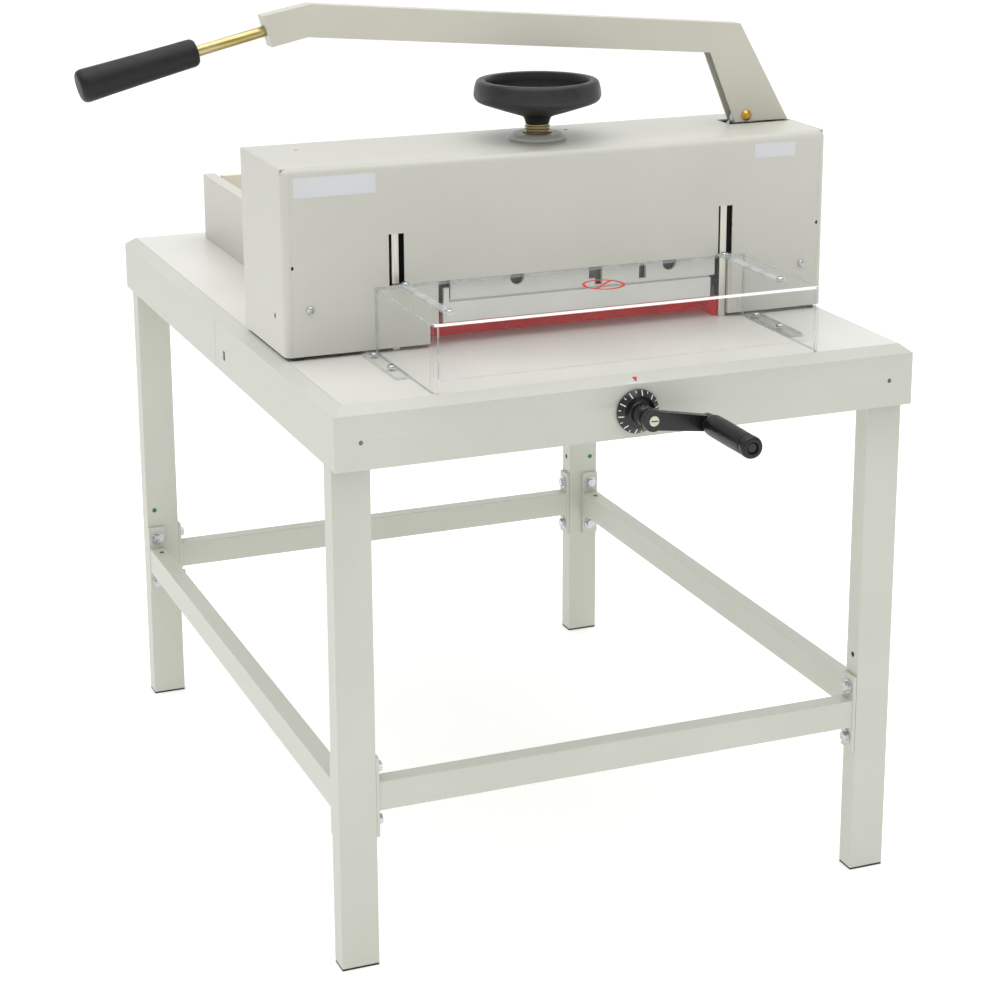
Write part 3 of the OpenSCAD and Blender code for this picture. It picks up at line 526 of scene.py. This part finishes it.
# %% Crank grip
crank_low, crank_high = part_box("crank_grip")
crank_x = (crank_low[0] + crank_high[0]) / 2 / MM
crank_z = (crank_low[2] + crank_high[2]) / 2 / MM
CRANK_GRIP_RINGS = [(6, 0.2), (9, 0.2), (11.8, 0.8), (13.3, 2.6), (13.9, 5.5), (14.3, 10),
                    (14.4, 30), (14.3, 60), (14.1, 90), (14.0, 96), (13.1, 96.8), (13.1, 98.6),
                    (14.0, 99.4), (14.4, 102), (14.4, 108), (13.4, 110.6), (11.8, 111.7),
                    (9.4, 111.9), (7.6, 111.2), (7, 109), (6.8, 105.4)]
crank_grip = turned("crank_grip_moulding", CRANK_GRIP_RINGS,
                    (crank_x, crank_high[1] / MM, crank_z), (0, -1, 0), segments=64)
finish_piece(crank_grip, satin_black, "crank_knob")
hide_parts("crank_grip")
print("crank grip faces:", len(crank_grip.data.polygons))

# %% [markdown]
# ## Dial
# A black disc with a sloping rim. Twenty white marks are let into the slope, long and short
# in turn. A dial like this is read against the red pointer on the table's bevel. One mark is
# modelled and copied round. Then a small wedge makes the pointer.

# %% Dial with its marks
dial_low, dial_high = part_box("gauge_dial")
DIAL_Y = dial_high[1] / MM
SCREW_Z = (dial_low[2] + dial_high[2]) / 2 / MM
DIAL_RINGS = [(27.5, 0.1), (28.6, 0.8), (28.8, 2.6), (28.3, 3.4), (21.6, 8.4), (20.9, 8.9),
              (15.4, 8.9), (14.2, 9.2), (13.2, 10.4), (12.9, 12), (12.9, 31.6), (12.2, 32.6),
              (9, 32.8)]
dial = turned("dial_disc", DIAL_RINGS, (0, DIAL_Y, SCREW_Z), (0, -1, 0), segments=96)
finish_piece(dial, smooth_black, "crank")
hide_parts("gauge_dial")
SLOPE_FOOT, SLOPE_HEAD = (28.3, 3.4), (21.6, 8.4)     # two of the rings: radius, height
slope = math.atan2(SLOPE_HEAD[1] - SLOPE_FOOT[1], SLOPE_FOOT[0] - SLOPE_HEAD[0])
MARK_COUNT = 20
marks = []
for step in range(MARK_COUNT):
    inner, half = (21.8, 0.6) if step % 2 == 0 else (25.2, 0.45)
    mark = plate("dial_mark", (inner, -half, -0.25), (28.1, half, 0.28))
    bevel_edges(mark, lambda a, b: abs(a.z - b.z) > 0.1, 0.2, 1)
    turn = math.radians(360 / MARK_COUNT * (step + 0.5))
    for vertex in mark.data.vertices:
        x, y, z = vertex.co / MM
        drop = (SLOPE_FOOT[0] - x) * math.tan(slope)
        radius = Vector((math.cos(turn), 0, math.sin(turn)))
        across = Vector((-math.sin(turn), 0, math.cos(turn)))
        on_axis = Vector((0, DIAL_Y - SLOPE_FOOT[1] - drop - z, SCREW_Z))
        vertex.co = (on_axis + radius * x + across * y) * MM
    marks.append(mark)
dial_marks = join("dial_marks", marks)
finish_piece(dial_marks, tick_white, "crank")
print("dial marks:", len(marks))

# %% Pointer above the dial
pointer = plate("dial_pointer", (-2.9, 0, -0.2), (2.9, 6.6, 0.8))
pick(pointer, "VERT", lambda place: place.y < 1)
bpy.ops.transform.resize(value=(0.15, 1, 1), center_override=(0, 0, 0))
bpy.ops.object.mode_set(mode="OBJECT")
BEVEL_SLOPE = math.atan2(11, 14)      # the rim rises 11 mm over 14 mm
RIM_FRONT_Y, RIM_EDGE_Z = -535, 749
UP_THE_BEVEL = 4
pointer.rotation_euler = (BEVEL_SLOPE, 0, 0)
pointer.location = Vector((0, RIM_FRONT_Y + UP_THE_BEVEL * math.cos(BEVEL_SLOPE),
                           RIM_EDGE_Z + UP_THE_BEVEL * math.sin(BEVEL_SLOPE))) * MM
finish_piece(pointer, sign_red, "base")
print("pointer placed")

# %% [markdown]
# ## Screws
# The screws that hold the guard and the front sheet have low domed heads with a cross
# recess. One head is turned, a cross is cut into it, and copies go to all ten places.


# %% Pan-head screws
def pan_screw(name, radius):
    head = turned(name, [(radius * 0.98, 0), (radius, 0.5), (radius * 0.97, 1.6),
                         (radius * 0.85, 2.7), (radius * 0.6, 3.5), (radius * 0.2, 3.85)],
                  (0, 0, 0), segments=32)
    cutters = []
    for size in ((radius * 0.55, radius * 0.11), (radius * 0.11, radius * 0.55)):
        cutters.append(plate("cross_cutter", (-size[0], -size[1], 2.2), (size[0], size[1], 5)))
    for cutter in cutters:
        work_on(head)
        cut = head.modifiers.new("cross", "BOOLEAN")
        cut.operation = "DIFFERENCE"
        cut.object = cutter
        bpy.ops.object.modifier_apply(modifier="cross")
        bpy.data.objects.remove(cutter)
    return head


GUARD_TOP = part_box("guard_stays")[1][2] / MM
TABLE_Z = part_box("table_plate")[1][2] / MM
HEAD_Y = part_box("front_cover")[0][1] / MM
first_screw = pan_screw("pan_screw", 5.3)
SCREWS = [((side * 230, y, GUARD_TOP), (0, 0, 1)) for side in (-1, 1) for y in (-479, -319)]
SCREWS += [((side * 277, y, TABLE_Z + 4), (0, 0, 1)) for side in (-1, 1) for y in (-326, -394)]
guard_copies = []
for at, towards in SCREWS:
    screw = copy_piece(first_screw, "guard_screw")
    screw.rotation_euler = (0, 0, math.radians(at[1] % 90))
    screw.location = Vector(at) * MM
    guard_copies.append(screw)
guard_heads = join("guard_screw_heads", guard_copies)
finish_piece(guard_heads, zinc, "base")
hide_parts("guard_screws")
cover_copies = []
for side in (-1, 1):
    screw = copy_piece(first_screw, "cover_screw")
    screw.rotation_euler = (math.radians(90), math.radians(20 * side), 0)
    screw.location = Vector((side * 355, HEAD_Y, TABLE_Z + 66)) * MM
    cover_copies.append(screw)
bpy.data.objects.remove(first_screw)
cover_heads = join("cover_screw_heads", cover_copies)
finish_piece(cover_heads, zinc, "base")
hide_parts("cover_screws")
print("screw heads:", len(SCREWS) + 2)

# %% [markdown]
# ## Clear guard
# One sheet of 4 mm acrylic, folded down at the sides. A cube with its back and underside
# taken away gives the folds, a bevel rounds them, and a Solidify modifier makes the sheet.
# Its rim takes the material of the sawn edge. The bends take it too, as painted lines of
# light, and the top of the front bend takes a white glow, a painted highlight. The front stops
# 16 mm above the table.

# %% Clear guard
guard_low, guard_high = [Vector(corner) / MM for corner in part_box("guard_shell")]
GUARD_X = 268
SHEET = 4
FRONT_GAP = 16
guard = plate("guard_sheet", (-GUARD_X, guard_low.y, guard_low.z),
              (GUARD_X, guard_high.y, guard_high.z))
pick(guard, "FACE", lambda place, normal: normal.y > 0.9 or normal.z < -0.9)
bpy.ops.mesh.delete(type="FACE")
bevel_edges(guard, lambda a, b: abs(a.z - b.z) > 40 and max(a.y, b.y) < guard_low.y + 1, 9, 6)
bevel_edges(guard, lambda a, b: min(a.z, b.z) > guard_high.z - 1
            and max(a.y, b.y) - 1 < guard_high.y
            and min(a.y, b.y) <= guard_high.y - 1, 0.8, 2)
bpy.ops.object.mode_set(mode="EDIT")
bpy.ops.mesh.select_all(action="SELECT")
front_foot = guard_low.z + FRONT_GAP
bpy.ops.mesh.bisect(plane_co=(0, 0, front_foot * MM), plane_no=(0, 0, 1))
pick(guard, "FACE", lambda place, normal: place.z < front_foot and normal.y < -0.99)
bpy.ops.mesh.delete(type="FACE")
bpy.ops.object.mode_set(mode="OBJECT")
for finish in (clear, clear_edge, clear_fold_highlight):
    guard.data.materials.append(finish)
# The bends take the edge material as painted lines of light, and the top of the front bend takes
# the white glow as a painted highlight.
for face in guard.data.polygons:
    steepest = max(abs(value) for value in face.normal)
    folded_top = abs(face.normal.z) > 0.1 and steepest < 0.99
    fold_side = abs(face.normal.z) < 0.1 and 0.95 < steepest < 0.9999
    face.material_index = 1 if folded_top or fold_side else 0
    if folded_top and face.center.y < (guard_low.y + 3) * MM:
        face.material_index = 2
sheet = guard.modifiers.new("sheet", "SOLIDIFY")
sheet.thickness = SHEET * MM
sheet.offset = -1
sheet.material_offset_rim = 1
bpy.ops.object.modifier_apply(modifier="sheet")
feet = []
for side in (-1, 1):
    inner, outer = sorted((side * (GUARD_X - 0.2), side * (GUARD_X + 20)))
    foot = plate("guard_foot", (inner, guard_high.y - 134, guard_low.z),
                 (outer, guard_high.y - 4, guard_low.z + SHEET))
    bevel_edges(foot, lambda a, b: abs(a.z - b.z) > 2 and abs(a.x) > GUARD_X + 10, 4, 4)
    for finish in (clear, clear_edge):
        foot.data.materials.append(finish)
    for face in foot.data.polygons:
        face.material_index = 0 if abs(face.normal.z) > 0.9 else 1
    feet.append(foot)
guard = join("guard_sheet", [guard] + feet)
finish_piece(guard, clear, "base")
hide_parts("guard_shell")
print("guard faces:", len(guard.data.polygons))

# %% [markdown]
# ## Dark openings
# Behind each slot of the head and behind the holes in the sheets the machine is unlit.
# Small black trays close those views with painted shade: flat black where there is only
# shadow. They stand clear of the red strip, which rises with the knife just inside the right
# slot.

# %% Trays behind the openings
# Black trays of painted shade behind the slots of the head and the holes in the sheets.
SHADE_TRAYS = [("slot_shade_tray", (-250, -292.4, 840), (-218, -291.2, 926)),
         ("slot_shade_tray", (232.2, -292.4, 790), (243, -291.2, 926)),
         ("slot_shade_tray", (227.0, -297.4, 790), (231.9, -296.2, 926)),
         ("slot_shade_tray", (243, -302, 850), (246, -291.2, 926)),
         ("apron_shade_tray", (-397.6, -52, 694), (-396.2, -34, 716)),
         ("cover_shade_tray", (-386.6, -270, 804), (-385.4, -254, 820))]
trays = [plate(name, low, high) for name, low, high in SHADE_TRAYS]
for tray in trays:
    bevel_edges(tray, lambda a, b: True, 0.3, 1)
trays = join("painted_shade_trays", trays)
finish_piece(trays, painted_shade_black, "base")
print("trays placed")

# %% [markdown]
# ## Screw on the crank's hub
# A cream cap covers the end of the gauge screw in front of the crank arm. Its slot is a thin
# black bar laid on the cap: painted shade where the cut would be dark.

# %% Crank cap
arm_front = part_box("crank_arm")[0][1] / MM
cap = turned("crank_cap", [(6.4, 0), (6.6, 0.3), (6.4, 0.8), (5.2, 0.99)],
             (0, arm_front, SCREW_Z), (0, -1, 0), segments=40)
finish_piece(cap, screw_cream, "crank")
# A thin black bar on the cap: the painted shade of its slot.
slot_shade_bar = plate("crank_cap_slot_shade", (-5.0, arm_front - 1.15, SCREW_Z - 0.7),
                  (5.0, arm_front - 0.5, SCREW_Z + 0.7))
bevel_edges(slot_shade_bar, lambda a, b: True, 0.15, 1)
finish_piece(slot_shade_bar, painted_shade_black, "crank")
print("crank cap placed")

# %% [markdown]
# ## Studio
# The machine stands on a plain pale floor under soft light: a broad soft box overhead, a
# weak one from the left, and a surround that fills the shadows. The wall behind the machine
# is white, and the studio on the near side is a little dimmer, so fronts are darker than tops.


# %% Floor
bpy.ops.object.select_all(action="DESELECT")
bpy.ops.mesh.primitive_plane_add(size=60.0, location=(0, 0, 0))
floor = bpy.context.object
floor.name = "studio_floor"
bpy.ops.object.transform_apply(location=True, rotation=True, scale=True)
floor_paint = mottled("studio_floor_paint", "#FAFAF9", "#FCFCFB", 900, (0.8, 0.9), 20, 0.0,
                      {"Emission Color": linear("#FFFFFF"), "Emission Strength": 0.3,
                       "Specular IOR Level": 0.0})
floor.data.materials.append(floor_paint)


# %% Lights
def soft_box(name, location, target, size, watts):
    light = bpy.data.lights.new(name, "AREA")
    light.shape = "RECTANGLE"
    light.size, light.size_y = size
    light.energy = watts
    lamp = bpy.data.objects.new(name, light)
    bpy.context.scene.collection.objects.link(lamp)
    lamp.location = location
    lamp.rotation_euler = (Vector(target) - Vector(location)).to_track_quat("-Z", "Y").to_euler()


soft_box("overhead_box", (-0.2, -0.4, 4.2), (0, 0, 0.8), (4.0, 4.0), 86)
soft_box("left_box", (-4.2, -0.8, 2.0), (0, 0, 0.8), (3.0, 3.0), 1.5)
world = bpy.data.worlds.new("studio_surround")
world.use_nodes = True
background = world.node_tree.nodes["Background"]
sky_place = add(world, "TexCoord")
towards_wall = add(world, "VectorMath", {"operation": "DOT_PRODUCT"},
                   {0: (sky_place, "Generated")})
towards_wall.inputs[1].default_value = (0.39, 0.92, 0.0)
surround = ramp_between(world, (towards_wall, "Value"), grey(0.70), grey(1.0), 0.15, 0.75)
world.node_tree.links.new(surround.outputs["Color"], background.inputs["Color"])
background.inputs["Strength"].default_value = 1.0
bpy.context.scene.world = world
bpy.context.scene.view_settings.view_transform = "Standard"
print("studio ready")
